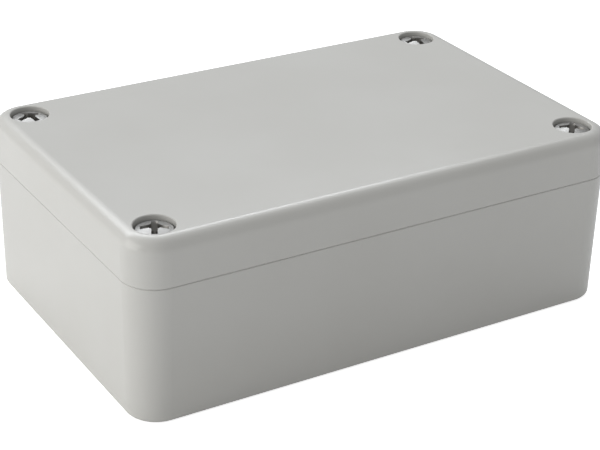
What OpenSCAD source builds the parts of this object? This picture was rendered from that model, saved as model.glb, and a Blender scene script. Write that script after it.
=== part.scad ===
// Small sealed project box: a drafted, moulded base and lid with a tongue-and-groove
// seal that steps round the corner pillars, and four pan-head screws in brass inserts.
// Millimetres, +Z up. The origin is the centre of the underside.

/* [Case] */
// Length over the joint line
case_l = 105; // [85:1:160]
// Width over the joint line
case_w = 68; // [60:1:120]
// Height of the base, underside to joint line
base_h = 27.4; // [22:0.1:60]
// Height of the lid, joint line to top face
lid_h = 9.2; // [8.5:0.1:14]
// Wall thickness at the joint line
wall_t = 3; // [2.6:0.1:3.6]
// Thickness of the base's floor
floor_t = 2.5; // [2:0.1:4]
// Thickness of the lid's roof
roof_t = 2.5; // [2:0.1:3]

/* [Outer form] */
// Radius of the upright corners at the joint line
corner_r = 6.6; // [5:0.1:8]
// Mould draft of every upright face, in degrees
draft_deg = 0.6; // [0.3:0.1:1.5]
// Radius along the lid's top edge
top_round = 2.6; // [1:0.1:3]
// Radius along the base's bottom edge
bottom_round = 1; // [0.4:0.1:2]
// How far the lid stands proud of the base all round
lid_proud = 0.15; // [0.05:0.05:0.4]
// Broken edge on both sides of the joint line
joint_chamfer = 0.2; // [0.1:0.1:0.5]
// Radius inside, where walls meet the floor and the roof
inner_round = 1.2; // [0.4:0.1:1.8]

/* [Seal] */
// Thickness of the base's tongue
tongue_t = 1.3; // [1:0.1:1.5]
// Height of the tongue above the joint line
tongue_h = 1.6; // [1:0.1:2]
// Room on each side of the tongue in the lid's groove
groove_gap = 0.4; // [0.2:0.05:0.5]
// Height of the gasket cord in the groove
gasket_h = 1.7; // [1:0.1:2.2]
// Room on each side of the gasket in its groove
gasket_gap = 0.05; // [0.02:0.01:0.15]
// Thickness of the lid's locating skirt
skirt_t = 1.2; // [0.8:0.1:1.3]
// How far the skirt reaches down into the base
skirt_drop = 1.4; // [0.6:0.1:3]
// Radius of the corners where the seal turns off the walls
seal_round = 2.6; // [2.4:0.1:3.5]

/* [Lid screws] */
// Distance of each screw from both outer faces
screw_inset = 6.8; // [6.5:0.1:9]
// Radius of the corner pillars round the screws
pillar_r = 5.4; // [4.8:0.1:6.5]
// Diameter of the recesses that the heads sit in
recess_d = 7.6; // [7.4:0.1:9]
// Depth of the head's crown below the lid's top face
head_sunk = 0.6; // [0.4:0.1:1.6]
// Diameter of the head
head_d = 7; // [6:0.1:7.4]
// Height of the head
head_h = 2.6; // [2:0.1:3]
// Thread diameter over the crests
thread_d = 3.5; // [3:0.1:3.6]
// Thread pitch
thread_pitch = 0.6; // [0.5:0.05:0.7]
// Length under the head
screw_l = 12; // [10:0.5:14]
// Play of the screw in the lid's hole, on the radius
hole_play = 0.25; // [0.15:0.05:0.4]
// Width of the cross recess over its wings
cross_w = 4.8; // [3.6:0.1:5]
// Thickness of one wing of the cross
cross_t = 1.15; // [0.8:0.05:1.3]
// Depth of the cross recess below the crown
cross_depth = 1.9; // [1.2:0.1:2]
// Broken edge round the mouth of each recess
recess_chamfer = 0.15; // [0.1:0.05:0.4]

/* [Inserts] */
// Outer diameter of the brass inserts
insert_d = 4.8; // [4.5:0.1:5.4]
// Length of the inserts
insert_h = 6.5; // [4:0.1:8]
// Depth of the inserts' rims below the pillar tops
insert_sunk = 0.2; // [0.1:0.1:0.5]
// Running clearance of the thread in the insert, on the radius
thread_play = 0.06; // [0.03:0.01:0.1]

/* [Board bosses] */
// Boss spacing along the case
boss_dx = 70; // [50:1:74]
// Boss spacing across the case
boss_dy = 40; // [26:1:44]
// Diameter of a boss at its top
boss_d = 6; // [5:0.1:7]
// Height of a boss above the floor
boss_h = 5; // [3:0.5:10]
// Diameter of the pilot hole for a 3 mm self-tapping screw
boss_pilot_d = 2.5; // [2.2:0.1:2.8]
// Depth of the pilot hole
boss_pilot_depth = 5.5; // [4:0.5:6.4]
// Thickness of the gussets round each boss
gusset_t = 1; // [0.8:0.1:1.5]
// Reach of the gussets beyond the foot of the boss
gusset_reach = 1.8; // [1:0.1:2.5]

/* [Rear fixing holes] */
// Diameter of the blind holes under the pillars, for 4 mm self-tapping screws
rear_pilot_d = 3.2; // [2.8:0.1:3.6]
// Depth of the blind holes
rear_pilot_depth = 12; // [8:0.5:13]

/* [Hidden] */
$fn = 96;
eps = 0.01;
shell_grey = [0.80, 0.80, 0.77];

draft = tan(draft_deg);
screw_x = case_l / 2 - screw_inset;
screw_y = case_w / 2 - screw_inset;

// Half sizes of the cavity at the joint line, and where its corners step round the pillars.
cavity_x = case_l / 2 - wall_t;
cavity_y = case_w / 2 - wall_t;
step_x = screw_x - pillar_r;
step_y = screw_y - pillar_r;

// The seal's faces, as offsets outward from the cavity's outline.
groove_out = tongue_t + groove_gap;
groove_in = -groove_gap;
skirt_in = groove_in - skirt_t;
groove_depth = tongue_h + gasket_h;

seat_z = base_h + lid_h - head_sunk - head_h;
crown_z = base_h + lid_h - head_sunk;
insert_top_z = base_h - insert_sunk;
tip_room = 1;
pocket_depth = base_h - (seat_z - screw_l) + tip_room;

// Plain cylinders stand for threads at their mean diameter; the lid's holes clear the crests.
thread_mean_r = thread_d / 2 - 0.325 * thread_pitch;
clear_r = thread_d / 2 + hole_play;
boss_top_z = floor_t + boss_h;

// ---------- profiles ----------

// Upright edge of a moulded wall, drawn outward from a corner's centre: it starts at the
// joint line with radius r, leans in by the draft and turns over with edge_r at height h.
module edge_profile(r, h, edge_r, chamfer = 0) {
    centre_x = r - h * draft - edge_r * (1 - sin(draft_deg)) / cos(draft_deg);
    polygon([
        [0, 0],
        [r - chamfer, 0],
        [r - chamfer * draft, chamfer],
        [centre_x + edge_r * cos(draft_deg), h - edge_r + edge_r * sin(draft_deg)],
        [centre_x, h],
        [0, h]
    ]);
    translate([centre_x, h - edge_r])
        intersection() {
            circle(edge_r);
            square(edge_r);
        }
}

// Full cross-section of a moulded block between two corner centres that lie c from the middle.
module wall_section(c, r, h, edge_r, chamfer) {
    for (side = [0, 1])
        mirror([side, 0])
            translate([c, 0])
                edge_profile(r, h, edge_r, chamfer);
    translate([-c, 0])
        square([2 * c, h]);
}

// Drafted block with round upright corners and one rounded rim, standing on the joint line.
module moulded_block(half_x, half_y, r, h, edge_r, chamfer = 0) {
    cx = half_x - r;
    cy = half_y - r;
    rotate([90, 0, 0])
        linear_extrude(2 * cy, center = true)
            wall_section(cx, r, h, edge_r, chamfer);
    rotate([90, 0, 90])
        linear_extrude(2 * cx, center = true)
            wall_section(cy, r, h, edge_r, chamfer);
    for (corner = [[1, 1, 0], [-1, 1, 90], [-1, -1, 180], [1, -1, 270]])
        translate([corner[0] * cx, corner[1] * cy, 0])
            rotate([0, 0, corner[2]])
                rotate_extrude(angle = 90)
                    edge_profile(r, h, edge_r, chamfer);
}

// The four screw axes.
module at_screws() {
    for (sx = [-1, 1], sy = [-1, 1])
        translate([sx * screw_x, sy * screw_y, 0])
            children();
}

module at_bosses() {
    for (sx = [-1, 1], sy = [-1, 1])
        translate([sx * boss_dx / 2, sy * boss_dy / 2, 0])
            children();
}

module round_rect(half_x, half_y, r) {
    square([2 * (half_x - r), 2 * half_y], center = true);
    square([2 * half_x, 2 * (half_y - r)], center = true);
    for (sx = [-1, 1], sy = [-1, 1])
        translate([sx * (half_x - r), sy * (half_y - r)])
            circle(r);
}

// Outline of the sealed space, grown by d: it follows the walls and steps round the pillars.
module seal_outline(d) {
    round_rect(cavity_x + d, step_y + d, seal_round + d);
    round_rect(step_x + d, cavity_y + d, seal_round + d);
    difference() {
        square([2 * screw_x, 2 * screw_y], center = true);
        for (sx = [-1, 1], sy = [-1, 1])
            translate([sx * screw_x, sy * screw_y])
                circle(pillar_r - d);
    }
}

// Ring between two offsets of that outline.
module seal_ring(outer_d, inner_d, h) {
    linear_extrude(h)
        difference() {
            seal_outline(outer_d);
            seal_outline(inner_d);
        }
}

// The same space as a drafted hollow of height h, standing on the joint line. Its rim
// fillet is no larger than its upright corners allow.
module seal_hollow(d, h) {
    corner = seal_round + d;
    rim_round = min(inner_round, 0.9 * (corner - h * draft));
    moulded_block(cavity_x + d, step_y + d, corner, h, rim_round);
    moulded_block(step_x + d, cavity_y + d, corner, h, rim_round);
    difference() {
        translate([-screw_x, -screw_y, 0])
            cube([2 * screw_x, 2 * screw_y, h]);
        at_screws()
            cylinder(h, pillar_r - d, pillar_r - d + h * draft);
    }
}

// ---------- moulded parts ----------

// Tapered boss on the floor, held up by four sloping gussets.
module board_boss() {
    foot_r = boss_d / 2 + boss_h * draft;
    gusset_h = boss_h - gusset_reach / 2;
    translate([0, 0, floor_t])
        cylinder(boss_h, foot_r, boss_d / 2);
    for (turn = [0, 90])
        rotate([90, 0, turn])
            translate([0, floor_t, 0])
                linear_extrude(gusset_t, center = true)
                    polygon([
                        [-foot_r - gusset_reach, -eps],
                        [foot_r + gusset_reach, -eps],
                        [boss_d / 4, gusset_h],
                        [-boss_d / 4, gusset_h]
                    ]);
}

module base() {
    color(shell_grey)
    difference() {
        union() {
            difference() {
                translate([0, 0, base_h])
                    mirror([0, 0, 1])
                        moulded_block(case_l / 2 - lid_proud, case_w / 2 - lid_proud,
                            corner_r - lid_proud, base_h, bottom_round, joint_chamfer);
                translate([0, 0, base_h])
                    mirror([0, 0, 1])
                        seal_hollow(0, base_h - floor_t);
            }
            translate([0, 0, base_h])
                seal_ring(tongue_t, 0, tongue_h);
            at_bosses()
                board_boss();
        }
        at_bosses()
            translate([0, 0, boss_top_z - boss_pilot_depth])
                cylinder(boss_pilot_depth + eps, d = boss_pilot_d);
        at_screws() {
            translate([0, 0, insert_top_z - insert_h])
                cylinder(insert_h + insert_sunk + eps, d = insert_d);
            translate([0, 0, base_h - pocket_depth])
                cylinder(pocket_depth, r = clear_r);
            translate([0, 0, -eps])
                cylinder(rear_pilot_depth + eps, d = rear_pilot_d);
        }
    }
}

module lid() {
    color(shell_grey)
    difference() {
        union() {
            translate([0, 0, base_h])
                moulded_block(case_l / 2, case_w / 2, corner_r, lid_h, top_round, joint_chamfer);
            translate([0, 0, base_h - skirt_drop])
                seal_ring(groove_in, skirt_in, skirt_drop);
        }
        translate([0, 0, base_h])
            seal_hollow(skirt_in, lid_h - roof_t);
        translate([0, 0, base_h])
            seal_ring(groove_out, groove_in, groove_depth);
        at_screws() {
            translate([0, 0, base_h - eps])
                cylinder(lid_h, r = clear_r);
            translate([0, 0, seat_z])
                cylinder(lid_h, d = recess_d);
            translate([0, 0, base_h + lid_h - recess_chamfer])
                cylinder(2 * recess_chamfer, recess_d / 2, recess_d / 2 + 2 * recess_chamfer);
        }
    }
}

module gasket() {
    color([0.25, 0.26, 0.27])
        translate([0, 0, base_h + tongue_h])
            seal_ring(groove_out - gasket_gap, groove_in + gasket_gap, gasket_h);
}

// ---------- fasteners ----------

// Pan head seen from the side: a slight crown over a well-rounded rim.
module head_profile() {
    rim_r = head_h * 0.6;
    crown_r = head_d;
    intersection() {
        union() {
            square([head_d / 2 - rim_r, head_h]);
            square([head_d / 2, head_h - rim_r]);
            translate([head_d / 2 - rim_r, head_h - rim_r])
                circle(rim_r);
        }
        translate([0, head_h - crown_r])
            circle(crown_r);
        square([head_d, head_h + eps]);
    }
}

// Cross recess: two tapered blades and a conical middle, cut down from the crown.
module cross_recess() {
    root_w = cross_w * 0.36;
    for (turn = [0, 90])
        rotate([90, 0, turn])
            linear_extrude(cross_t, center = true)
                polygon([
                    [-cross_w / 2, eps],
                    [cross_w / 2, eps],
                    [root_w / 2, -cross_depth],
                    [-root_w / 2, -cross_depth]
                ]);
    translate([0, 0, -cross_depth])
        cylinder(cross_depth + eps, root_w / 2, cross_t);
}

module lid_screw(sx, sy, turn) {
    tip_h = thread_pitch;
    color("silver")
        translate([sx * screw_x, sy * screw_y, seat_z])
            difference() {
                union() {
                    rotate_extrude()
                        head_profile();
                    translate([0, 0, tip_h - screw_l])
                        cylinder(screw_l - tip_h, r = thread_mean_r);
                    translate([0, 0, -screw_l])
                        cylinder(tip_h, thread_mean_r - tip_h, thread_mean_r);
                }
                translate([0, 0, head_h])
                    rotate([0, 0, turn])
                        cross_recess();
            }
}

// Brass bush with a waist, pressed into its pillar.
module insert(sx, sy) {
    waist_h = insert_h / 5;
    waist_depth = 0.35;
    color("goldenrod")
        translate([sx * screw_x, sy * screw_y, insert_top_z - insert_h])
            difference() {
                cylinder(insert_h, d = insert_d);
                translate([0, 0, (insert_h - waist_h) / 2])
                    difference() {
                        cylinder(waist_h, d = 2 * insert_d);
                        cylinder(waist_h, d = insert_d - 2 * waist_depth);
                    }
                translate([0, 0, -eps])
                    cylinder(insert_h + 2 * eps, r = thread_mean_r + thread_play);
            }
}

base();
lid();
gasket();
lid_screw(-1, -1, 64);  // lid_screw_front_left
lid_screw(1, -1, 49);  // lid_screw_front_right
lid_screw(-1, 1, 15);  // lid_screw_rear_left
lid_screw(1, 1, 1);  // lid_screw_rear_right
insert(-1, -1);  // insert_front_left
insert(1, -1);  // insert_front_right
insert(-1, 1);  // insert_rear_left
insert(1, 1);  // insert_rear_right
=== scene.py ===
"""Finishes, small turned details, light and camera for the sealed project box."""
import math

import bmesh
import bpy
from mathutils import Matrix, Vector


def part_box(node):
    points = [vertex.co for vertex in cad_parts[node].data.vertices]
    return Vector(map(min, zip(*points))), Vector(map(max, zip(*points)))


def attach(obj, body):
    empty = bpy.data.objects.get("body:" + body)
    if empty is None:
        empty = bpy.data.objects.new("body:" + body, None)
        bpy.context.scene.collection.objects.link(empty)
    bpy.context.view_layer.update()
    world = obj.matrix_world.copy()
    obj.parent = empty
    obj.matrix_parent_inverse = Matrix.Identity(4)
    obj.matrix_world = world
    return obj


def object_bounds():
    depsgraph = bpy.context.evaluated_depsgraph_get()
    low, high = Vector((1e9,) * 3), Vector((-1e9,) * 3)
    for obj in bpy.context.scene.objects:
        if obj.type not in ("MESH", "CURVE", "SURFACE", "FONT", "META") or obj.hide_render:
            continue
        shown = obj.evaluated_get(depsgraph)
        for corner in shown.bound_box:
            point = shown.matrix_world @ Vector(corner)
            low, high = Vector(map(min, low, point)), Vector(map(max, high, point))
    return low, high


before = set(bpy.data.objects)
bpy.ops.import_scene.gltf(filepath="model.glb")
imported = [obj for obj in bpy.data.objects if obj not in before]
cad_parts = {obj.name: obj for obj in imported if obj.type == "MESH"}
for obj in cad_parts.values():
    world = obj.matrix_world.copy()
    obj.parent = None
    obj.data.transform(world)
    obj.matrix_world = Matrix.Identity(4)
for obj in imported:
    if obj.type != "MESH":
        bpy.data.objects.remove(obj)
cad_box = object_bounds()
case_low, case_high = cad_box

MM = 0.001
SCREWS = ("front_left", "front_right", "rear_left", "rear_right")

# Lid screws: the head with its crown, the shank under it, and how each was left turned, in degrees
HEAD_HEIGHT = 2.95 * MM
HEAD_RADIUS = 3.51 * MM
CROWN_RADIUS = 9.0 * MM
RIM_RADIUS = 0.35 * MM
SKIRT_DEPTH = 2.05 * MM
SHANK_LENGTH = 12.0 * MM
SHANK_TIP = 0.6 * MM
PLAIN_NECK = 0.5 * MM
SCREW_TURNS = {"front_left": 64, "front_right": 49, "rear_left": 15, "rear_right": 1}

# Their cross recess, at the crown and at its root: wings, and the turned middle between them
CROSS_DEPTH = 2.25 * MM
WING_REACH = 2.5 * MM
WING_REACH_ROOT = 0.85 * MM
WING_HALF = 0.56 * MM
MIDDLE_RADIUS = 1.13 * MM
MIDDLE_RADIUS_ROOT = 0.85 * MM

# How finely a head is turned, and where its rings lie between the wings and the rim
RING_SIDES = 72
RIM_STEPS = 6
MIDDLE_STEPS = 4
LANDS = (0.2 * MM, 0.45 * MM)

# Their thread, which is wound as a ridge on the shank
THREAD_PITCH = 0.6 * MM
THREAD_ROOT = 1.50 * MM
THREAD_CREST = 1.75 * MM
THREAD_FLANK = 0.45 * THREAD_PITCH
RUN_OUT_TURNS = 0.75
STEPS_PER_TURN = 32

# Straight knurl on the two bands of each brass bush
KNURL_TEETH = 30
KNURL_INNER = 2.1 * MM
KNURL_VALLEY = 2.38 * MM
KNURL_CREST = 2.50 * MM
KNURL_BAND = 2.2 * MM
KNURL_MARGIN = 0.2 * MM

# Floor: how far it lies under the box, so that the two faces don't coincide, and half its side
FLOOR_DROP = 0.05 * MM
FLOOR_REACH = 2.5

# Light from all round, and the tints of the lamps
AMBIENT = 0.435
WARM = (1.0, 0.985, 0.95)
COOL = (0.93, 0.96, 1.0)
FAINTLY_COOL = (0.96, 0.98, 1.0)

# Colours, each as a pair that a finish drifts between
GREY_MOULDING = ((0.575, 0.572, 0.548, 1.0), (0.590, 0.588, 0.566, 1.0))
NICKEL_PLATE = ((0.26, 0.257, 0.25, 1.0), (0.38, 0.376, 0.368, 1.0))
# Colour of the cross recess in each screw head: partly duller plating, partly painted shade of the recess
DULL_AND_SHADED_RECESS = (0.25, 0.243, 0.23, 1.0)
CUT_BRASS = ((0.62, 0.42, 0.14, 1.0), (0.78, 0.56, 0.24, 1.0))
BLACK_FOAM = ((0.012, 0.012, 0.013, 1.0), (0.045, 0.046, 0.048, 1.0))


# ---------- shader maths ----------

class Value:
    """One socket of a material, so that maths on it can be written as an expression."""

    def __init__(self, finish, socket):
        self.finish = finish
        self.socket = socket

    def combine(self, operation, first, second):
        return self.finish.node("ShaderNodeMath", {"operation": operation}, {0: first, 1: second})

    def __add__(self, other):
        return self.combine("ADD", self, other)

    def __radd__(self, other):
        return self.combine("ADD", other, self)

    def __sub__(self, other):
        return self.combine("SUBTRACT", self, other)

    def __rsub__(self, other):
        return self.combine("SUBTRACT", other, self)

    def __mul__(self, other):
        return self.combine("MULTIPLY", self, other)

    def __rmul__(self, other):
        return self.combine("MULTIPLY", other, self)

    def __abs__(self):
        return self.finish.node("ShaderNodeMath", {"operation": "ABSOLUTE"}, {0: self})


class Finish:
    """A material that is being put together."""

    def __init__(self, name):
        self.material = bpy.data.materials.new(name)
        self.material.use_nodes = True
        self.tree = self.material.node_tree
        self.tree.nodes.clear()
        self.place = self.node("ShaderNodeTexCoord", output="Object")

    def node(self, kind, settings=None, inputs=None, output=0):
        """Adds a node, sets it up, feeds its sockets and returns one of its outputs."""
        node = self.tree.nodes.new(kind)
        for key, value in (settings or {}).items():
            if key == "stops":
                self.set_stops(node.color_ramp, value)
            else:
                setattr(node, key, value)
        for key, value in (inputs or {}).items():
            if isinstance(value, Value):
                self.tree.links.new(value.socket, node.inputs[key])
            else:
                node.inputs[key].default_value = value
        return Value(self, node.outputs[output]) if node.outputs else None

    @staticmethod
    def set_stops(ramp, stops):
        while len(ramp.elements) < len(stops):
            ramp.elements.new(1.0)
        for element, (position, level) in zip(ramp.elements, stops):
            element.position = position
            element.color = (level, level, level, 1.0)

    def noise(self, scale, detail=2.0, roughness=0.5):
        """Cloudy pattern with a number of patches to a metre."""
        inputs = {"Vector": self.place, "Scale": scale, "Detail": detail, "Roughness": roughness}
        return self.node("ShaderNodeTexNoise", inputs=inputs, output="Fac")

    def axes(self):
        """The three coordinates of the point, in metres."""
        return [self.node("ShaderNodeSeparateXYZ", inputs={"Vector": self.place}, output=axis)
                for axis in "XYZ"]

    def ramp(self, value, *stops):
        """Grey level that follows a value, given as pairs of position and level."""
        return self.node("ShaderNodeValToRGB", {"stops": stops}, {"Fac": value})

    def mix(self, amount, first, second):
        """Colour between two colours."""
        return self.node("ShaderNodeMix", {"data_type": "RGBA"},
                         {"Factor": amount, "A": first, "B": second}, output="Result")

    def bump(self, height, depth, strength=1.0, under=None):
        """Relief of a depth in metres, on top of another relief where one is given."""
        inputs = {"Height": height, "Distance": depth, "Strength": strength}
        if under is not None:
            inputs["Normal"] = under
        return self.node("ShaderNodeBump", inputs=inputs)

    def done(self, **sockets):
        """Closes the material with a Principled surface: base_color= feeds Base Color, and so on."""
        names = {key.replace("_", " ").title().replace("Ior", "IOR"): value
                 for key, value in sockets.items()}
        shader = self.node("ShaderNodeBsdfPrincipled", inputs=names, output="BSDF")
        self.node("ShaderNodeOutputMaterial", inputs={"Surface": shader})
        return self.material


def screw_axis(corner):
    """Where a lid screw stands: x and y of its axis, and the height of its tip."""
    low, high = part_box("lid_screw_" + corner)
    return (low[0] + high[0]) / 2, (low[1] + high[1]) / 2, low[2]


# ---------- finishes ----------

def case_plastic():
    """Light warm grey moulding: satin, with a fine eroded texture and a faint unevenness of flow."""
    f = Finish("moulded_light_grey")
    flow = f.noise(38.0, detail=3.0)
    grain = f.noise(4200.0, roughness=0.6)
    colour = f.mix(f.ramp(flow, (0.35, 0.0), (0.65, 1.0)), *GREY_MOULDING)
    skin = f.bump(f.noise(160.0), 0.05 * MM, strength=0.35)
    texture = f.bump(grain, 0.006 * MM, strength=0.5, under=skin)
    return f.done(base_color=colour, roughness=0.19 + 0.05 * flow + 0.03 * grain, ior=1.50,
                  normal=texture)


def screw_plate():
    """Nickel plate with uneven gloss, darker down in the cross recess of each head: duller plating there,
    and painted shade of the recess.
    """
    f = Finish("bright_nickel")
    axis_x, axis_y, tip = screw_axis("rear_right")
    x, y, z = f.axes()
    across, along = abs(x) - axis_x, abs(y) - axis_y
    off_axis = across * across + along * along
    above_seat = z - (tip + SHANK_LENGTH)
    below_crown = HEAD_HEIGHT - above_seat - off_axis * (0.5 / CROWN_RADIUS)
    on_head = f.ramp(above_seat * (1.0 / MM), (0.0, 0.0), (0.05, 1.0))
    near_axis = f.ramp(off_axis * (0.9 / WING_REACH ** 2), (0.94, 1.0), (0.96, 0.0))
    sunk = f.ramp(below_crown * (1.0 / MM), (0.04, 0.0), (0.35, 1.0))
    # Cross recess of each head, where the plate colour is darkened: partly duller plating, partly painted
    # shade
    recess = on_head * near_axis * sunk
    patches = f.noise(900.0, detail=3.0)
    colour = f.mix(recess, f.mix(patches, *NICKEL_PLATE), DULL_AND_SHADED_RECESS)
    return f.done(base_color=colour, metallic=1.0, roughness=0.36 + 0.12 * patches,
                  normal=f.bump(f.noise(2600.0), 0.01 * MM, strength=0.4))


def turned_brass():
    """Free-cutting brass, with fine marks of the tool."""
    f = Finish("turned_brass")
    marks = f.noise(1500.0)
    return f.done(base_color=f.mix(marks, *CUT_BRASS), metallic=1.0, roughness=0.22 + 0.2 * marks,
                  normal=f.bump(marks, 0.02 * MM, strength=0.4))


def seal_rubber():
    """Black foamed cord with open pores."""
    f = Finish("seal_rubber")
    pores = f.node("ShaderNodeTexVoronoi", {"feature": "F1"}, {"Vector": f.place, "Scale": 2400.0},
                   output="Distance")
    tone = f.ramp(pores, (0.1, 0.0), (0.5, 1.0))
    return f.done(base_color=f.mix(tone, *BLACK_FOAM), roughness=0.72 + 0.12 * tone,
                  normal=f.bump(pores, 0.08 * MM, strength=0.8))


PLASTIC = case_plastic()
NICKEL = screw_plate()
BRASS = turned_brass()
RUBBER = seal_rubber()


def dress(node, material):
    """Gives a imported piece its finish."""
    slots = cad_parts[node].data.materials
    slots.clear()
    slots.append(material)


dress("base", PLASTIC)
dress("lid", PLASTIC)
dress("gasket", RUBBER)
for corner in SCREWS:
    dress("lid_screw_" + corner, NICKEL)
    dress("insert_" + corner, BRASS)


# ---------- turned details ----------

def add_piece(name, bm, material, body):
    """Closes a bmesh into a piece that moves with a body."""
    bmesh.ops.recalc_face_normals(bm, faces=bm.faces)
    mesh = bpy.data.meshes.new(name)
    bm.to_mesh(mesh)
    bm.free()
    mesh.materials.append(material)
    piece = bpy.data.objects.new(name, mesh)
    bpy.context.scene.collection.objects.link(piece)
    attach(piece, body)


def cross_outline(depth):
    """Corners of the cross recess at a depth, with its turned middle between the wings."""
    share = depth / CROSS_DEPTH
    reach = WING_REACH + share * (WING_REACH_ROOT - WING_REACH)
    middle = MIDDLE_RADIUS + share * (MIDDLE_RADIUS_ROOT - MIDDLE_RADIUS)
    start = math.asin(WING_HALF / middle)
    points = []
    for wing in range(4):
        quarter = Matrix.Rotation(wing * math.pi / 2, 2)
        arc = [start + step / MIDDLE_STEPS * (math.pi / 2 - 2 * start)
               for step in range(MIDDLE_STEPS + 1)]
        corners = [(reach, -WING_HALF), (reach, WING_HALF)]
        corners += [(middle * math.cos(angle), middle * math.sin(angle)) for angle in arc]
        points += [quarter @ Vector(corner) for corner in corners]
    return points


def crown_drop(radius):
    """How far the crown of a head has fallen at a distance from its axis."""
    return radius ** 2 / (2 * CROWN_RADIUS)


def screw_head(corner):
    """Low crown with a tight rim and a skirt, cut by the cross recess, which fits over the plain head."""
    x, y, tip = screw_axis(corner)
    crown = tip + SHANK_LENGTH + HEAD_HEIGHT
    turned = Matrix.Rotation(math.radians(SCREW_TURNS[corner]), 2)
    shoulder = HEAD_RADIUS - RIM_RADIUS
    rings = [(WING_REACH + land, crown_drop(WING_REACH + land)) for land in LANDS]
    for step in range(RIM_STEPS + 1):
        angle = step * math.pi / (2 * RIM_STEPS)
        rings.append((shoulder + RIM_RADIUS * math.sin(angle),
                      crown_drop(shoulder) + RIM_RADIUS * (1 - math.cos(angle))))
    rings.append((HEAD_RADIUS, SKIRT_DEPTH))
    bm = bmesh.new()

    def loop(points, sharp=False):
        corners = [bm.verts.new(point) for point in points]
        edges = [bm.edges.new((corners[i - 1], corners[i])) for i in range(len(corners))]
        for edge in edges:
            edge.smooth = not sharp
        return edges

    def cross_at(depth, follows_crown):
        points = []
        for flat in cross_outline(depth):
            point = turned @ flat
            drop = crown_drop(point.length) if follows_crown else depth
            points.append((x + point.x, y + point.y, crown - drop))
        return loop(points, sharp=True)

    def ring_at(radius, drop):
        angles = [side * 2 * math.pi / RING_SIDES for side in range(RING_SIDES)]
        return loop([(x + radius * math.cos(a), y + radius * math.sin(a), crown - drop) for a in angles])

    loops = [cross_at(0.0, follows_crown=True)] + [ring_at(*ring) for ring in rings]
    loops += [cross_at(SKIRT_DEPTH, follows_crown=False)]
    for inner, outer in zip(loops, loops[1:] + loops[:1]):
        bmesh.ops.bridge_loops(bm, edges=inner + outer)
    for face in bm.faces:
        face.smooth = True
    add_piece("screw_head_" + corner, bm, NICKEL, "screw_" + corner)


def screw_thread(corner):
    """Right-hand ridge from the tip to the plain neck under the head, which runs out at both ends."""
    x, y, tip = screw_axis(corner)
    start = tip + SHANK_TIP
    steps = round((SHANK_LENGTH - SHANK_TIP - PLAIN_NECK) / THREAD_PITCH * STEPS_PER_TURN)
    turns = steps / STEPS_PER_TURN
    profile = ((THREAD_ROOT, -THREAD_FLANK), (THREAD_CREST, 0.0), (THREAD_ROOT, THREAD_FLANK))
    bm = bmesh.new()
    ridge = [bm.verts.new((x + reach, y, start + rise)) for reach, rise in profile]
    sides = [bm.edges.new((ridge[i], ridge[(i + 1) % 3])) for i in range(3)]
    wound = bmesh.ops.spin(bm, geom=ridge + sides, cent=(x, y, 0.0), axis=(0.0, 0.0, 1.0),
                           dvec=(0.0, 0.0, THREAD_PITCH / STEPS_PER_TURN),
                           angle=2 * math.pi * turns, steps=steps)
    bm.faces.new(ridge)
    bm.faces.new([part for part in wound["geom_last"] if isinstance(part, bmesh.types.BMVert)])
    for vertex in bm.verts:
        out = Vector((vertex.co.x - x, vertex.co.y - y, 0.0))
        if out.length > (THREAD_ROOT + THREAD_CREST) / 2:
            turn = (vertex.co.z - start) / THREAD_PITCH
            grown = max(0.0, min(1.0, turn / RUN_OUT_TURNS, (turns - turn) / RUN_OUT_TURNS))
            reach = THREAD_ROOT + grown * (THREAD_CREST - THREAD_ROOT)
            vertex.co += out.normalized() * (reach - out.length)
    add_piece("screw_thread_" + corner, bm, NICKEL, "screw_" + corner)


def knurl(corner, band, bottom):
    """Toothed ring round one end of a brass bush."""
    low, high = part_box("insert_" + corner)
    centre = Vector(((low[0] + high[0]) / 2, (low[1] + high[1]) / 2, bottom))
    bm = bmesh.new()
    inner, outer = [bmesh.ops.create_circle(bm, segments=2 * KNURL_TEETH, radius=radius,
                                            matrix=Matrix.Translation(centre))
                    for radius in (KNURL_INNER, KNURL_VALLEY)]
    for tooth in outer["verts"][::2]:
        tooth.co = centre + (tooth.co - centre) * (KNURL_CREST / KNURL_VALLEY)
    bmesh.ops.bridge_loops(bm, edges=bm.edges[:])
    raised = bmesh.ops.extrude_face_region(bm, geom=bm.faces[:] + bm.edges[:], use_keep_orig=True)
    bmesh.ops.translate(bm, vec=(0.0, 0.0, KNURL_BAND),
                        verts=[part for part in raised["geom"] if isinstance(part, bmesh.types.BMVert)])
    add_piece("insert_knurl_" + band + "_" + corner, bm, BRASS, "base")


for corner in SCREWS:
    screw_head(corner)
    screw_thread(corner)
    bush_low, bush_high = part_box("insert_" + corner)
    knurl(corner, "lower", bush_low[2] + KNURL_MARGIN)
    knurl(corner, "upper", bush_high[2] - KNURL_MARGIN - KNURL_BAND)


# ---------- floor, light and camera ----------

def studio_floor():
    """Pale floor that the camera sees as white, with only the box's shadow left on it."""
    f = Finish("studio_floor")
    camera_ray = f.node("ShaderNodeLightPath", output="Is Camera Ray")
    glossy_ray = f.node("ShaderNodeLightPath", output="Is Glossy Ray")
    paint = f.node("ShaderNodeBsdfDiffuse", inputs={"Color": (0.88, 0.88, 0.88, 1.0)}, output="BSDF")
    glow = f.node("ShaderNodeEmission", inputs={"Strength": 0.75 * camera_ray + 0.1 * glossy_ray},
                  output="Emission")
    both = f.node("ShaderNodeAddShader", inputs={0: paint, 1: glow}, output="Shader")
    f.node("ShaderNodeOutputMaterial", inputs={"Surface": both})
    return f.material


def floor():
    """Plane that the box stands on, with its pale finish."""
    mesh = bpy.data.meshes.new("floor")
    bm = bmesh.new()
    bmesh.ops.create_grid(bm, x_segments=1, y_segments=1, size=FLOOR_REACH)
    bm.to_mesh(mesh)
    bm.free()
    plane = bpy.data.objects.new("floor", mesh)
    plane.location.z = -FLOOR_DROP
    bpy.context.scene.collection.objects.link(plane)
    mesh.materials.append(studio_floor())


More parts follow.
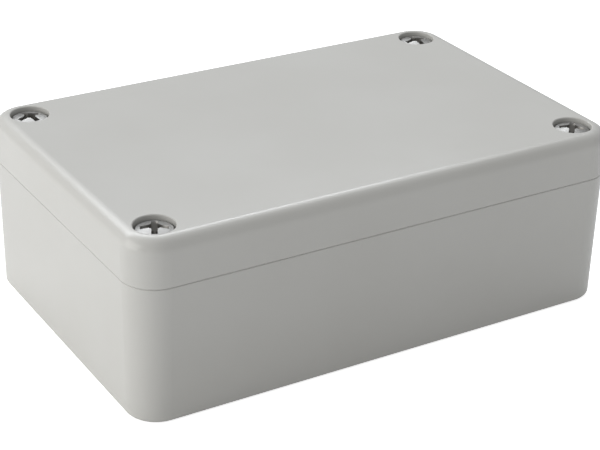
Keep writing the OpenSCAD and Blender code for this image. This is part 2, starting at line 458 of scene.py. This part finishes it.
def surroundings():
    """White for the camera, dimmer for the light that the object gets from all round."""
    world = bpy.data.worlds.new("studio")
    bpy.context.scene.world = world
    world.use_nodes = True
    tree = world.node_tree
    tree.nodes.clear()
    path = tree.nodes.new("ShaderNodeLightPath")
    seen = tree.nodes.new("ShaderNodeMapRange")
    seen.inputs["To Min"].default_value = AMBIENT
    seen.inputs["To Max"].default_value = 1.0
    tree.links.new(path.outputs["Is Camera Ray"], seen.inputs["Value"])
    sky = tree.nodes.new("ShaderNodeBackground")
    sky.inputs["Color"].default_value = (1.0, 1.0, 1.0, 1.0)
    tree.links.new(seen.outputs["Result"], sky.inputs["Strength"])
    end = tree.nodes.new("ShaderNodeOutputWorld")
    tree.links.new(sky.outputs["Background"], end.inputs["Surface"])


def softbox(name, bearing, height, distance, size, power, tint):
    """Rectangular lamp that faces the middle of the box.

    Its bearing runs clockwise from the back of the box, its height up from the floor, both in degrees.
    """
    lamp = bpy.data.lights.new(name, "AREA")
    lamp.shape = "RECTANGLE"
    lamp.size, lamp.size_y = size
    lamp.energy = power
    lamp.color = tint
    light = bpy.data.objects.new(name, lamp)
    middle = (case_low + case_high) / 2
    bearing, height = math.radians(bearing), math.radians(height)
    aim = -Vector((math.sin(bearing) * math.cos(height), math.cos(bearing) * math.cos(height),
                   math.sin(height)))
    light.location = middle - distance * aim
    light.rotation_mode = "QUATERNION"
    light.rotation_quaternion = aim.to_track_quat("-Z", "Y")
    bpy.context.scene.collection.objects.link(light)


def camera():
    """Looks down on the near left corner. Distances are in lengths of the box."""
    azimuth, elevation, roll = math.radians(-31.51), math.radians(26.77), 0.0257
    length = case_high.x - case_low.x
    distance, aside, aim_height = 3.3157 * length, 0.0023 * length, 0.1280 * length
    lens = bpy.data.cameras.new("camera")
    lens.sensor_width = 36.0
    lens.lens = 103.39
    lens.clip_start, lens.clip_end = 0.01, 20.0
    back = Vector((math.sin(azimuth) * math.cos(elevation), -math.cos(azimuth) * math.cos(elevation),
                   math.sin(elevation)))
    right = Vector((math.cos(azimuth), math.sin(azimuth), 0.0))
    up = back.cross(right)
    turn = Matrix.Rotation(roll, 3, back)
    right, up = turn @ right, turn @ up
    view = bpy.data.objects.new("camera", lens)
    aim = Vector((math.cos(azimuth), math.sin(azimuth), 0.0)) * aside + Vector((0, 0, aim_height))
    place = aim + back * distance
    view.matrix_world = Matrix((
        (right.x, up.x, back.x, place.x),
        (right.y, up.y, back.y, place.y),
        (right.z, up.z, back.z, place.z),
        (0.0, 0.0, 0.0, 1.0),
    ))
    bpy.context.scene.collection.objects.link(view)
    bpy.context.scene.camera = view


floor()
surroundings()
softbox("left_key", bearing=-80.0, height=18.0, distance=1.0, size=(0.9, 0.9), power=5.8, tint=WARM)
softbox("rear_strip", bearing=6.0, height=42.0, distance=1.0, size=(1.1, 0.2), power=3.1, tint=COOL)
softbox("overhead", bearing=20.0, height=54.0, distance=1.2, size=(1.2, 0.6), power=3.6,
        tint=FAINTLY_COOL)
camera()
bpy.context.scene.view_settings.view_transform = "Standard"
